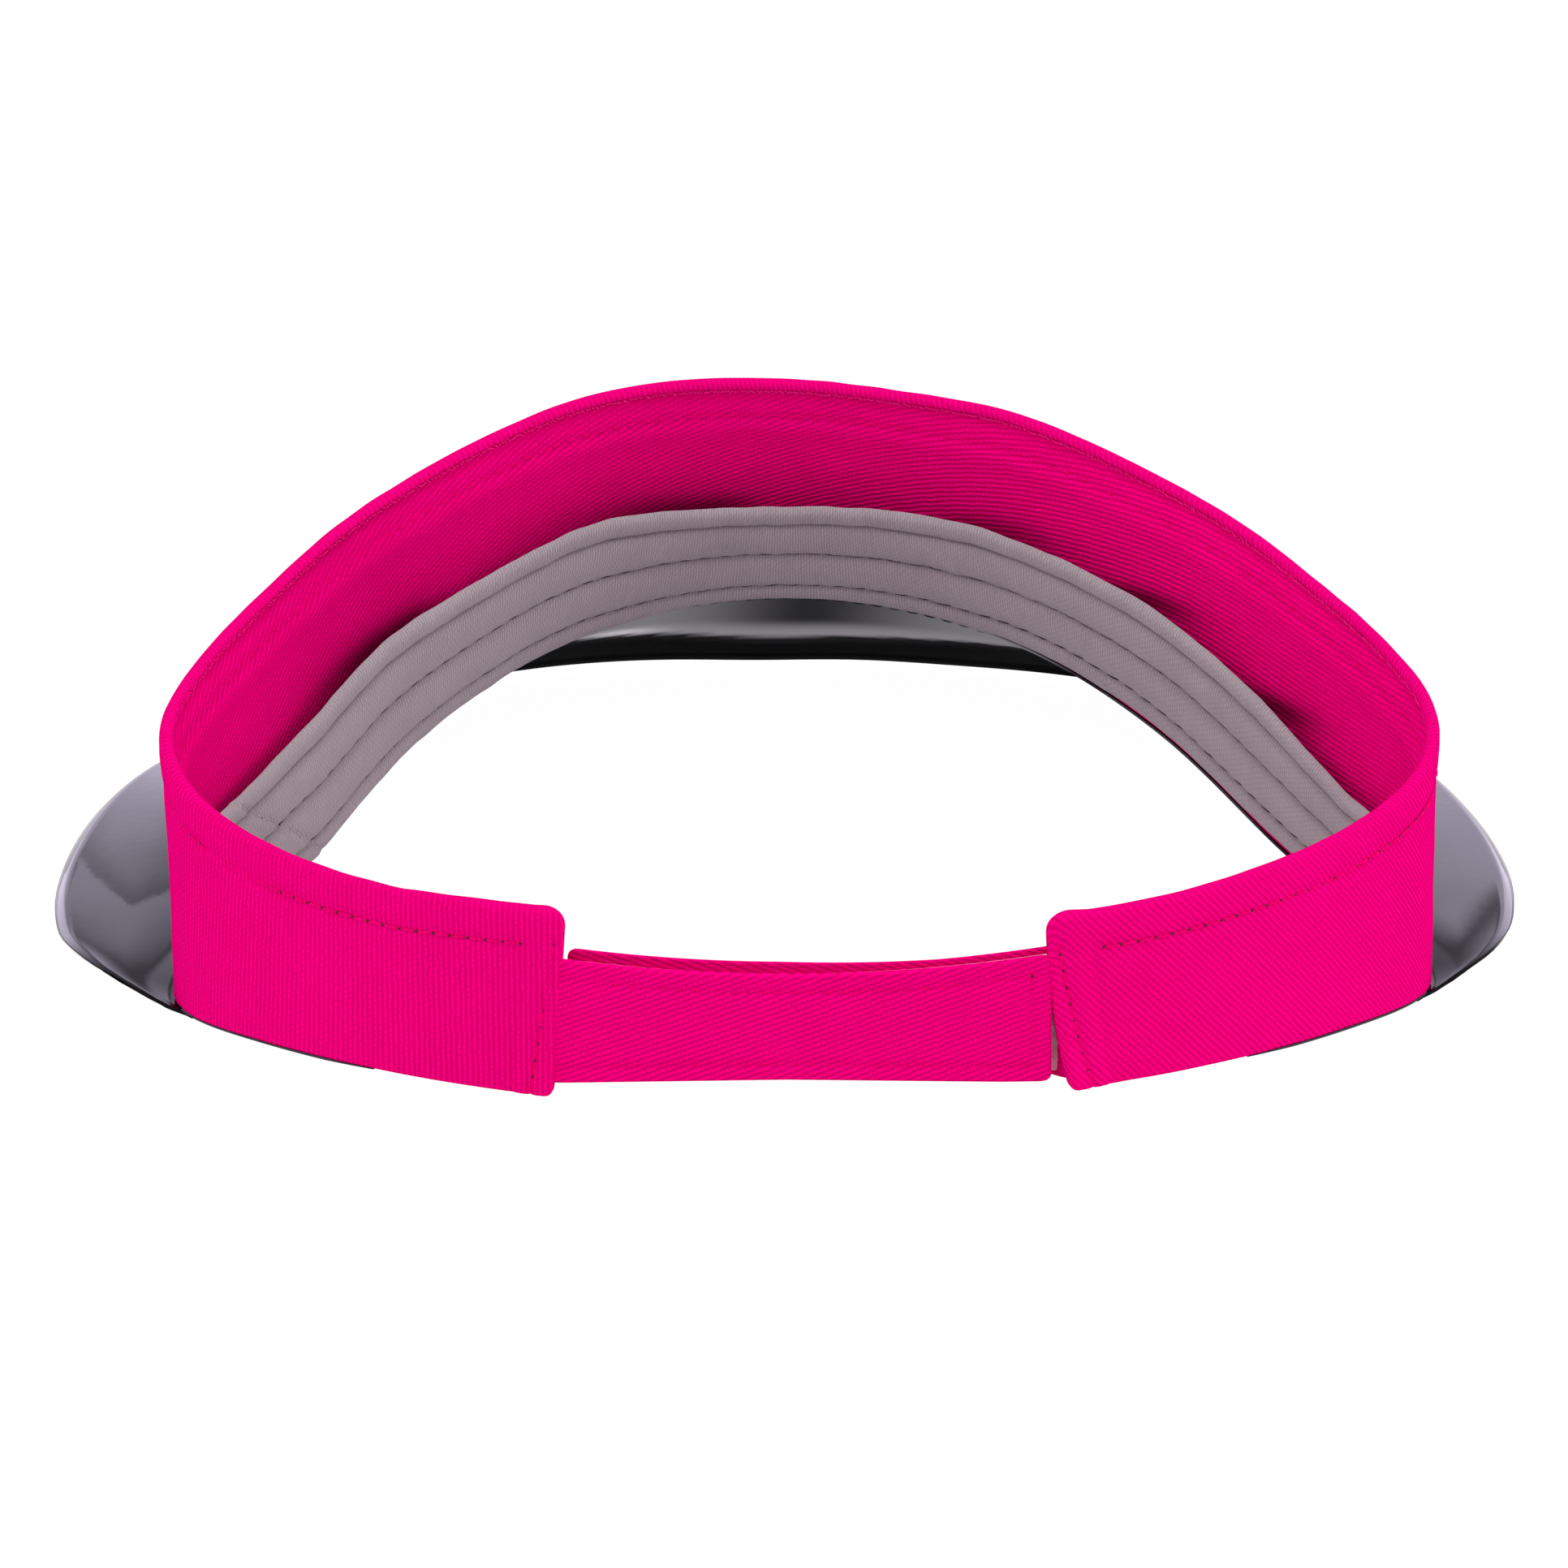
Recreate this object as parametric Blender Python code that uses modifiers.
"""Sun visor: an open-topped cotton headband with a curved brim at the front
and a hook-and-loop closure at the back.

Frame: +Z up, -Y towards the front of the brim, +X towards the wearer's left.
The visor stands on a table, z = 0: the front edge of the brim and the lower
corners of the rear panels lie close to the table.

The headband follows a bottom line. A point on it is given by three lengths:
  arc    arc length in plan from the middle of the front, positive to the left
  rise   distance up the leaning wall
  depth  distance inwards from the outer face of the wall
The closure straps use the same three, with arc measured from the middle of the back.
Lengths are in millimetres and angles in degrees.
"""

import math

import bpy
import numpy as np

MM = 0.001  # metres in a millimetre
NAME = "sun_visor"

# ------------------------------------------------------------- headband shape
HALF_LENGTH = 240.0  # from the middle of the front to a rear end
FRONT_Y = -51.3  # bottom line at the middle of the front
PLAN_STEPS = 960  # steps in which the plan curve is integrated

# arc, radius of curvature in plan
PLAN_RADIUS = (
    (0, 71.5), (35, 72), (70, 139), (100, 242), (130, 586),
    (155, 34.5), (172, 30.6), (190, 49.5), (212, 80), (240, -547),
)
# arc, height of the bottom line above the table
BOTTOM_Z = ((0, 31.4), (40, 26.9), (75, 18.2), (110, 7.3), (150, 2.3), (190, 4.2), (236, 0.3))
# arc, lean of the wall, positive when the top leans inwards
WALL_LEAN = ((0, 16.0), (45, 3.6), (95, -10.5), (140, -7.9), (188, 10.0), (236, 3.0))
# arc, height of the wall measured along its lean
WALL_HEIGHT = ((0, 44.0), (70, 42.8), (140, 42.6), (190, 30.9), (236, 29.8))

END_SLANT = 2.4  # the bottom of a rear end is shorter than its top
SLANT_START = 226.0  # arc from which the mesh is squeezed to meet the slant

# Mesh steps along the band, closer together in its sharp turn
WIDE_STEP = 9.0
TIGHT_STEP = 6.0
BRIM_TIGHT_STEP = 4.5
TURN_START, TURN_END = 143.0, 197.0

# ------------------------------------------------------------- cloth layers
GAP = 0.3  # clearance between neighbouring pieces
THREAD_R = 0.25
THREAD_OFFSET = GAP + THREAD_R  # from a face to the middle of a thread on it

OUTER_T = 0.8
FOLD_R = 1.6  # outer cloth turned over the top edge
FOLD_DOWN = 2.2
LINING_T = 0.7
LINING_DEPTH = 2.45
LINING_DROP = FOLD_R + FOLD_DOWN + 0.35  # from the top edge, below the fold
LINING_END = HALF_LENGTH - 0.2
BUCKRAM_T = 0.7
BUCKRAM_DEPTH = 1.3
BUCKRAM_RISE = 1.0
BUCKRAM_DROP = 3.0
BUCKRAM_END = 150.0

TOP_STITCH_DROP = 6.3
TOP_STITCH_END = 233.0
END_STITCH_ARC = 233.6
END_STITCH_RISE = 1.5
END_STITCH_SHORT = 9.0  # shorter than the height of the wall
END_STITCH_STEPS = 6

# ------------------------------------------------------------- sweatband
SWEAT_WIDTH = 25.0
SWEAT_DEPTH = 3.7
SWEAT_THICK = 3.0
SWEAT_SKIN = 0.6
SWEAT_END = 222.0
SWEAT_OUTER_RISE = 0.6  # lower edge of the cover's outer side
# arc, lean of the sweatband, positive when the top leans inwards
SWEAT_LEAN = ((0, 33.0), (45, 21.0), (95, 5.0), (140, 4.0), (188, 15.0), (236, 9.0))
SWEAT_ROWS = {"low": 4.2, "mid": 12.6, "high": 20.6}  # rise of each row of stitching
FOAM_DEPTH = SWEAT_SKIN + 0.4
FOAM_T = SWEAT_THICK - 2 * FOAM_DEPTH
FOAM_RISE = 1.2
FOAM_DROP = 3.2

# ------------------------------------------------------------- flexing lines
# One on each side, between the front of the visor and a rear wing
FLEX_ARC = 177.5
FLEX_HALF_GAP = 0.9
FLEX_DEPTH = -0.5  # the wing's origin lies just outside the wall
BODY_END = FLEX_ARC - FLEX_HALF_GAP
WING_START = FLEX_ARC + FLEX_HALF_GAP

# ------------------------------------------------------------- brim
BRIM_T = 1.3
BRIM_END = 175.5
# arc, then x, y and z of the free edge on the left side
BRIM_EDGE = (
    (0, 0, -100.3, 1.4),
    (30, 40, -97.1, 1.4),
    (60, 80, -76, 1.6),
    (90, 108, -47, 2.0),
    (120, 120, -6, 2.5),
    (140, 120.6, 22.2, 2.8),
    (160, 113.5, 48.2, 3.0),
    (170, 104.5, 62.7, 3.1),
    (BRIM_END, 98, 71.8, 3.2),
)
BRIM_ROWS = 4  # mesh rows from the knee to the free edge
BRIM_CROWN = 1.6  # how far the brim bulges above a straight line from knee to edge
BRIM_FULL_SPAN = 45.0  # a brim narrower than this bulges less
BRIM_ROOT_DEPTH = 2.8  # the sewn margin lies under the layers of the band
BRIM_KNEE_DEPTH = -1.0
BRIM_ROOT_RISE = -0.6
BRIM_SEAM_END = 126.0
BRIM_SEAM_SHARE = 0.07  # place of the seam between knee and edge
TAIL_END = 210.0  # seam tape that carries on from the brim under the band
TAIL_T = 2.0
TAIL_DEPTH = 0.3
TAIL_RISE = -1.5
TAIL_HEIGHT = 1.1

# ------------------------------------------------------------- closure straps
STRAP_R = 500.0  # outer face of the hook strap, about a centre far to the front
STRAP_LEAN = math.radians(-2.0)  # negative when the top leans to the front
STRAP_Z = 2.0
STRAP_LOW_RISE = 0.6  # lower edge, at the middle
STRAP_MID = 18.2  # upper edge, at the middle
STRAP_END_EXTRA = 2.4  # how much higher the upper edge is at the ends
STRAP_HALF_LENGTH = 39.0
STRAP_COLUMNS = 12
STRAP_OUT_DEPTH = 1.0  # hook strap's outer face, inwards of the panel's
STRAP_ANCHOR = (HALF_LENGTH - 1.0, 1.5, STRAP_OUT_DEPTH)  # wall point the arc meets

CLOTH_T = 0.8
TAPE_T = 0.7
STRAP_GAP = 0.8  # between the hook tape and the loop tape
HOOK_TAPE_DEPTH = CLOTH_T + GAP
LOOP_TAPE_DEPTH = HOOK_TAPE_DEPTH + TAPE_T + STRAP_GAP
LOOP_CLOTH_DEPTH = LOOP_TAPE_DEPTH + TAPE_T + GAP

ROOT_START, ROOT_END = 33.5, 38.2
HOOK_START, HOOK_FREE = 33.0, -37.6
LOOP_START, LOOP_FREE = -ROOT_END, 37.4
PEEL_ARC = (HOOK_START + ROOT_START) / 2  # where the free hook strap lifts from its root
TAPE_INSET = 1.2  # from the long edges of the strap
TAPE_END_INSET = 1.0
HOOK_TAPE_START_INSET = 3.0

STITCH_START_INSET = 3.0
STITCH_FREE_INSET = 3.3
STITCH_LOW_INSET = 2.8
STITCH_HIGH_INSET = 3.2
STITCH_ACROSS = (6.0, 14.0)  # rise of the run across the free end

SEWN_LENGTH = 11.0
SEWN_END = HALF_LENGTH - 1.2
SEWN_RISE = 2.5
SEWN_HEIGHT = 19.0


# ------------------------------------------------------------- scene
def clear():
    for obj in list(bpy.data.objects):
        bpy.data.objects.remove(obj, do_unlink=True)


def material(name, colour, roughness, coat=0.0):
    mat = bpy.data.materials.new(name)
    mat.use_nodes = True
    shader = mat.node_tree.nodes["Principled BSDF"]
    shader.inputs["Base Color"].default_value = (*colour, 1.0)
    shader.inputs["Roughness"].default_value = roughness
    shader.inputs["Coat Weight"].default_value = coat
    mat.diffuse_color = (*colour, 1.0)
    return mat


clear()
PARTS = bpy.data.collections.new(NAME)
bpy.context.scene.collection.children.link(PARTS)

PINK = material("pink_twill", colour=(0.80, 0.010, 0.20), roughness=0.85)
PINK_LINING = material("pink_lining", colour=(0.74, 0.010, 0.19), roughness=0.9)
PINK_THREAD = material("pink_thread", colour=(0.70, 0.008, 0.17), roughness=0.6)
GREY = material("sweatband_cloth", colour=(0.30, 0.27, 0.29), roughness=0.8)
GREY_THREAD = material("sweatband_thread", colour=(0.20, 0.17, 0.19), roughness=0.6)
FOAM = material("padding_foam", colour=(0.75, 0.74, 0.70), roughness=1.0)
BUCKRAM = material("stiff_buckram", colour=(0.82, 0.80, 0.76), roughness=0.9)
BLACK = material("gloss_black_sheet", colour=(0.010, 0.010, 0.012), roughness=0.12, coat=0.6)
SEAM_TAPE = material("black_seam_tape", colour=(0.02, 0.02, 0.022), roughness=0.7)
HOOKS = material("hook_tape_nylon", colour=(0.85, 0.45, 0.60), roughness=0.6)
LOOPS = material("loop_tape_nylon", colour=(0.90, 0.55, 0.68), roughness=0.95)


# ------------------------------------------------------------- headband maths
def smooth(arc, table, column=1, flat_start=True):
    """Hermite value of a table column at |arc|, held constant past the last row."""
    arcs = np.array([row[0] for row in table], float)
    values = np.array([row[column] for row in table], float)
    slopes = np.gradient(values, arcs)
    if flat_start:
        slopes[0] = 0.0
    place = min(abs(arc), arcs[-1])
    i = max(int(np.searchsorted(arcs, place)) - 1, 0)
    step = arcs[i + 1] - arcs[i]
    t = (place - arcs[i]) / step
    return ((2 * t**3 - 3 * t**2 + 1) * values[i]
            + (t**3 - 2 * t**2 + t) * step * slopes[i]
            + (-2 * t**3 + 3 * t**2) * values[i + 1]
            + (t**3 - t**2) * step * slopes[i + 1])


def plan_curve():
    """Arc, heading, x and y of the left half, integrated from the plan curvature."""
    bends = [(arc, 1.0 / radius) for arc, radius in PLAN_RADIUS]
    arcs = np.linspace(0.0, HALF_LENGTH, PLAN_STEPS + 1)
    curvature = np.array([smooth(arc, bends) for arc in arcs])
    step = arcs[1] - arcs[0]

    def integral(rates):
        return np.concatenate([[0.0], np.cumsum(rates * step)])

    heading = integral((curvature[1:] + curvature[:-1]) / 2)
    middle = (heading[1:] + heading[:-1]) / 2
    return arcs, heading, integral(np.cos(middle)), integral(np.sin(middle)) + FRONT_Y


PLAN = plan_curve()


def wall_frame(arc, lean_table):
    """Point on the bottom line, with the upward and inward directions of a leaning wall."""
    side = math.copysign(1.0, arc)
    heading, x, y = (float(np.interp(abs(arc), PLAN[0], values)) for values in PLAN[1:])
    heading *= side
    base = np.array([side * x, y, smooth(arc, BOTTOM_Z)])
    level = np.array([-math.sin(heading), math.cos(heading), 0.0])
    vertical = np.array([0.0, 0.0, 1.0])
    lean = math.radians(smooth(arc, lean_table))
    up = vertical * math.cos(lean) + level * math.sin(lean)
    inward = level * math.cos(lean) - vertical * math.sin(lean)
    return base, up, inward


def wall(arc, rise, depth):
    base, up, inward = wall_frame(arc, WALL_LEAN)
    return base + up * rise + inward * depth


def sweat(arc, rise, depth):
    """Point on the sweatband: it starts behind the lining and has its own lean."""
    _, up, inward = wall_frame(arc, SWEAT_LEAN)
    return wall(arc, 0.0, SWEAT_DEPTH) + up * rise + inward * depth


def height(arc):
    return smooth(arc, WALL_HEIGHT)


def end_trim(arc, share):
    """Slides a place back near a slanting rear end; share is 0 at the bottom, 1 at the top."""
    size = abs(arc)
    if size <= SLANT_START:
        return arc
    cut = END_SLANT * (1.0 - share) * (size - SLANT_START) / (HALF_LENGTH - SLANT_START)
    return math.copysign(size - cut, arc)


def stations(start, end, wide=WIDE_STEP, tight=TIGHT_STEP):
    """Arcs from start to end, stepping outwards from the front on both sides."""
    if start < 0 < end:
        right = stations(0.0, -start, wide, tight)
        return [-arc for arc in right[:0:-1]] + stations(0.0, end, wide, tight)
    if start < 0:
        return [-arc for arc in reversed(stations(-end, -start, wide, tight))]
    arcs = [start]
    while arcs[-1] < end - 1e-6:
        step = tight if TURN_START < arcs[-1] < TURN_END else wide
        arcs.append(min(arcs[-1] + step, end))
    # a very short last step is merged with the one before
    if len(arcs) > 2 and arcs[-1] - arcs[-2] < 0.5 * tight:
        arcs.pop(-2)
    return arcs


# ------------------------------------------------------------- strap maths
def strap_centre_y():
    x, y, _ = wall(*STRAP_ANCHOR)
    return y - math.sqrt(STRAP_R**2 - x**2)


STRAP_CENTRE_Y = strap_centre_y()


def strap(arc, rise, depth):
    radius = STRAP_R + rise * math.sin(STRAP_LEAN) - depth * math.cos(STRAP_LEAN)
    angle = arc / STRAP_R
    return np.array([
        radius * math.sin(angle),
        STRAP_CENTRE_Y + radius * math.cos(angle),
        STRAP_Z + rise * math.cos(STRAP_LEAN) + depth * math.sin(STRAP_LEAN),
    ])


def strap_low(arc):
    return STRAP_LOW_RISE * (1.0 - (arc / STRAP_HALF_LENGTH) ** 2)


def strap_high(arc):
    return STRAP_MID + STRAP_END_EXTRA * (arc / STRAP_HALF_LENGTH) ** 2


# ------------------------------------------------------------- makers
def on_table(point):
    """Origin of a moving piece: its joint axis where it meets the table."""
    return np.array([point[0], point[1], 0.0])


FIXED = np.zeros(3)  # origin of the pieces that don't move


def place(obj, name, mat, origin):
    obj.name = name
    obj.data.name = name
    obj.data.materials.append(mat)
    for owner in list(obj.users_collection):
        owner.objects.unlink(obj)
    PARTS.objects.link(obj)
    obj.location = tuple(origin * MM)


def sheet(name, mat, arcs, rows, point, thickness, origin=FIXED):
    """A cloth sheet: a grid laid over point(arc, row), with rows cells across,
    thickened behind its outward face."""
    columns = len(arcs) - 1
    bpy.ops.mesh.primitive_grid_add(x_subdivisions=columns, y_subdivisions=rows, size=2.0)
    obj = bpy.context.active_object
    for vertex in obj.data.vertices:
        column = round((vertex.co.x + 1.0) / 2.0 * columns)
        row = round((vertex.co.y + 1.0) / 2.0 * rows)
        vertex.co = tuple((point(arcs[column], row) - origin) * MM)
    solid = obj.modifiers.new("thickness", "SOLIDIFY")
    solid.thickness = thickness * MM
    solid.offset = -1.0
    solid.use_even_offset = True
    for polygon in obj.data.polygons:
        polygon.use_smooth = True
    obj.data.set_sharp_from_angle(angle=math.radians(40))
    place(obj, name, mat, origin)


def thread(name, mat, points, origin=FIXED):
    """A run of thread: a closed-ended tube along the points."""
    curve = bpy.data.curves.new(name, "CURVE")
    curve.dimensions = "3D"
    curve.bevel_depth = THREAD_R * MM
    curve.bevel_resolution = 0
    curve.use_fill_caps = True
    spline = curve.splines.new("POLY")
    spline.points.add(len(points) - 1)
    for knot, point in zip(spline.points, points):
        knot.co = (*((point - origin) * MM), 1.0)
    place(bpy.data.objects.new(name, curve), name, mat, origin)


def folded_edge(top, radius):
    """(rise, depth) pairs over a half-round fold, from its outer to its inner side."""
    angles = [math.pi * k / 3.0 for k in range(4)]
    return [(top - radius + radius * math.sin(angle), radius - radius * math.cos(angle))
            for angle in angles]


# ------------------------------------------------------------- band pieces
def outer_cloth(name, span, origin=FIXED):
    """Up the outer face, over the top edge and a little way down inside."""

    def point(arc, row):
        top = height(arc)
        section = [(0.0, 0.0), (top * 0.5, 0.0), *folded_edge(top, FOLD_R),
                   (top - FOLD_R - FOLD_DOWN, 2 * FOLD_R)]
        rise, depth = section[row]
        return wall(end_trim(arc, rise / top), rise, depth)

    sheet(name, PINK, stations(*span), 6, point, OUTER_T, origin)


def layer(name, mat, span, depth, thickness, low, drop, origin=FIXED):
    """A flat layer that follows the wall, from rise low to drop below the top."""

    def point(arc, row):
        top = height(arc)
        rise = (low, top * 0.5, top - drop)[row]
        return wall(end_trim(arc, rise / top), rise, depth)

    sheet(name, mat, stations(*span), 2, point, thickness, origin)


def lining(name, span, origin=FIXED):
    layer(name, PINK_LINING, span, LINING_DEPTH, LINING_T, 0.0, LINING_DROP, origin)


def top_stitch(name, span, origin=FIXED):
    points = [wall(arc, height(arc) - TOP_STITCH_DROP, -THREAD_OFFSET) for arc in stations(*span)]
    thread(name, PINK_THREAD, points, origin)


def end_stitch(name, side, origin):
    """Upright run of stitching near a rear end."""
    length = height(END_STITCH_ARC) - END_STITCH_SHORT
    shares = [k / END_STITCH_STEPS for k in range(END_STITCH_STEPS + 1)]
    points = [wall(end_trim(side * END_STITCH_ARC, share),
                   END_STITCH_RISE + length * share, -THREAD_OFFSET) for share in shares]
    thread(name, PINK_THREAD, points, origin)


def sweatband(prefix, span, origin=FIXED):
    """Cover folded over at the free top edge, foam inside and rows of stitching."""
    arcs = stations(*span)
    middle = SWEAT_WIDTH * 0.5
    section = [(SWEAT_OUTER_RISE, 0.0), (middle, 0.0),
               *folded_edge(SWEAT_WIDTH, SWEAT_THICK / 2.0),
               (middle, SWEAT_THICK), (0.0, SWEAT_THICK)]
    foam_rises = (FOAM_RISE, middle, SWEAT_WIDTH - FOAM_DROP)
    sheet(f"{prefix}sweatband_cover", GREY, arcs, len(section) - 1,
          lambda arc, row: sweat(arc, *section[row]), SWEAT_SKIN, origin)
    sheet(f"{prefix}sweatband_foam", FOAM, arcs, 2,
          lambda arc, row: sweat(arc, foam_rises[row], FOAM_DEPTH), FOAM_T, origin)
    for label, rise in SWEAT_ROWS.items():
        points = [sweat(arc, rise, SWEAT_THICK + THREAD_OFFSET) for arc in arcs]
        thread(f"{prefix}sweatband_stitch_{label}", GREY_THREAD, points, origin)


# ------------------------------------------------------------- brim pieces
def brim_knee(arc):
    """Where the brim comes out from under the band."""
    return wall(arc, BRIM_ROOT_RISE, BRIM_KNEE_DEPTH)


def brim_edge(arc):
    x = smooth(arc, BRIM_EDGE, column=1, flat_start=False)
    y = smooth(arc, BRIM_EDGE, column=2)
    z = smooth(arc, BRIM_EDGE, column=3)
    return np.array([math.copysign(1.0, arc) * x, y, z])


def brim():

    def point(arc, row):
        if row == 0:
            return wall(arc, BRIM_ROOT_RISE, BRIM_ROOT_DEPTH)
        share = (row - 1) / BRIM_ROWS
        knee = brim_knee(arc)
        edge = brim_edge(arc)
        fullness = min(1.0, float(np.linalg.norm(edge - knee)) / BRIM_FULL_SPAN)
        lift = BRIM_CROWN * fullness * 4 * share * (1 - share)
        return knee * (1 - share) + edge * share + np.array([0.0, 0.0, lift])

    arcs = stations(-BRIM_END, BRIM_END, tight=BRIM_TIGHT_STEP)[::-1]
    sheet("brim", BLACK, arcs, BRIM_ROWS + 1, point, BRIM_T)


def brim_seam():
    """Thread along the underside of the brim, near the band."""
    drop = np.array([0.0, 0.0, BRIM_T + GAP + 2 * THREAD_R])
    points = [brim_knee(arc) * (1 - BRIM_SEAM_SHARE) + brim_edge(arc) * BRIM_SEAM_SHARE - drop
              for arc in stations(-BRIM_SEAM_END, BRIM_SEAM_END)]
    thread("brim_seam_thread", SEAM_TAPE, points)


def seam_tail(name, span, origin):
    sheet(name, SEAM_TAPE, stations(*span), 1,
          lambda arc, row: wall(arc, TAIL_RISE + TAIL_HEIGHT * row, TAIL_DEPTH), TAIL_T, origin)


# ------------------------------------------------------------- strap pieces
def sewn_end(name, side, depth, origin):
    """End of a strap that is sewn inside a rear panel."""
    arcs = sorted(side * (SEWN_END - SEWN_LENGTH * share) for share in (0.0, 0.5, 1.0))
    sheet(name, PINK, arcs, 1,
          lambda arc, row: wall(end_trim(arc, 0.5), SEWN_RISE + SEWN_HEIGHT * row, depth),
          CLOTH_T, origin)


def strap_sheet(name, mat, right, left, columns, depth, thickness, origin, inset=0.0):
    """A piece of strap between two arcs. Its outer face looks to the rear."""

    def point(arc, row):
        low = strap_low(arc) + inset
        high = strap_high(arc) - inset
        return strap(arc, low + (high - low) * row, depth)

    arcs = [left + (right - left) * i / columns for i in range(columns + 1)]
    sheet(name, mat, arcs, 1, point, thickness, origin)


def strap_stitch(name, start, free, depth, origin):
    """Along the low edge to the free end, across it and back along the high edge."""
    arcs = np.linspace(start, free, 10)
    points = [strap(arc, strap_low(arc) + STITCH_LOW_INSET, depth) for arc in arcs]
    points += [strap(free, rise, depth) for rise in np.linspace(*STITCH_ACROSS, 3)]
    points += [strap(arc, strap_high(arc) - STITCH_HIGH_INSET, depth) for arc in arcs[::-1]]
    thread(name, PINK_THREAD, points, origin)


def hook_strap():
    """A short root, then the free strap with its tape on the front face."""
    root_at = on_table(strap(ROOT_END, 0.0, CLOTH_T / 2))
    peel_at = on_table(strap(PEEL_ARC, 0.0, 0.0))
    strap_sheet("hook_strap_root", PINK, ROOT_START, ROOT_END, 1, 0.0, CLOTH_T, root_at)
    strap_sheet("hook_strap_cloth", PINK, HOOK_FREE, HOOK_START, STRAP_COLUMNS,
                0.0, CLOTH_T, peel_at)
    strap_sheet("hook_tape", HOOKS, HOOK_FREE + TAPE_END_INSET,
                HOOK_START - HOOK_TAPE_START_INSET, STRAP_COLUMNS - 1,
                HOOK_TAPE_DEPTH, TAPE_T, peel_at, TAPE_INSET)
    strap_stitch("hook_strap_stitch", HOOK_START - STITCH_START_INSET,
                 HOOK_FREE + STITCH_FREE_INSET, -THREAD_OFFSET, peel_at)


def loop_strap():
    """In front of the hook strap, with its tape on the rear face."""
    origin = on_table(strap(LOOP_START, 0.0, LOOP_CLOTH_DEPTH + CLOTH_T / 2))
    strap_sheet("loop_strap_cloth", PINK_LINING, LOOP_START, LOOP_FREE, STRAP_COLUMNS,
                LOOP_CLOTH_DEPTH, CLOTH_T, origin)
    strap_sheet("loop_tape", LOOPS, LOOP_START + TAPE_END_INSET, LOOP_FREE - TAPE_END_INSET,
                STRAP_COLUMNS - 1, LOOP_TAPE_DEPTH, TAPE_T, origin, TAPE_INSET)
    strap_stitch("loop_strap_stitch", LOOP_START + STITCH_START_INSET,
                 LOOP_FREE - STITCH_FREE_INSET, LOOP_CLOTH_DEPTH + CLOTH_T + THREAD_OFFSET, origin)


# ------------------------------------------------------------- assembly
def front_body():
    span = (-BODY_END, BODY_END)
    outer_cloth("crown_outer_cloth", span)
    layer("crown_buckram", BUCKRAM, (-BUCKRAM_END, BUCKRAM_END), BUCKRAM_DEPTH, BUCKRAM_T,
          BUCKRAM_RISE, BUCKRAM_DROP)
    lining("crown_lining", span)
    top_stitch("crown_top_stitch", span)
    sweatband("", span)
    brim()
    brim_seam()


def wing(label, side, sewn_name, sewn_depth):
    """A rear wing, which turns about its flexing line."""
    origin = on_table(wall(side * FLEX_ARC, 0.0, FLEX_DEPTH))

    def span_to(end):
        return (WING_START, end) if side > 0 else (-end, -WING_START)

    outer_cloth(f"{label}_panel_outer_cloth", span_to(HALF_LENGTH), origin)
    lining(f"{label}_panel_lining", span_to(LINING_END), origin)
    top_stitch(f"{label}_panel_top_stitch", span_to(TOP_STITCH_END), origin)
    end_stitch(f"{label}_panel_end_stitch", side, origin)
    sweatband(f"{label}_", span_to(SWEAT_END), origin)
    seam_tail(f"{label}_brim_seam_tail", span_to(TAIL_END), origin)
    sewn_end(sewn_name, side, sewn_depth, origin)


front_body()
wing("left", 1, "hook_strap_sewn_end", BUCKRAM_DEPTH)
wing("right", -1, "loop_strap_sewn_end", LINING_DEPTH + LINING_T + GAP)
hook_strap()
loop_strap()
bpy.context.view_layer.update()
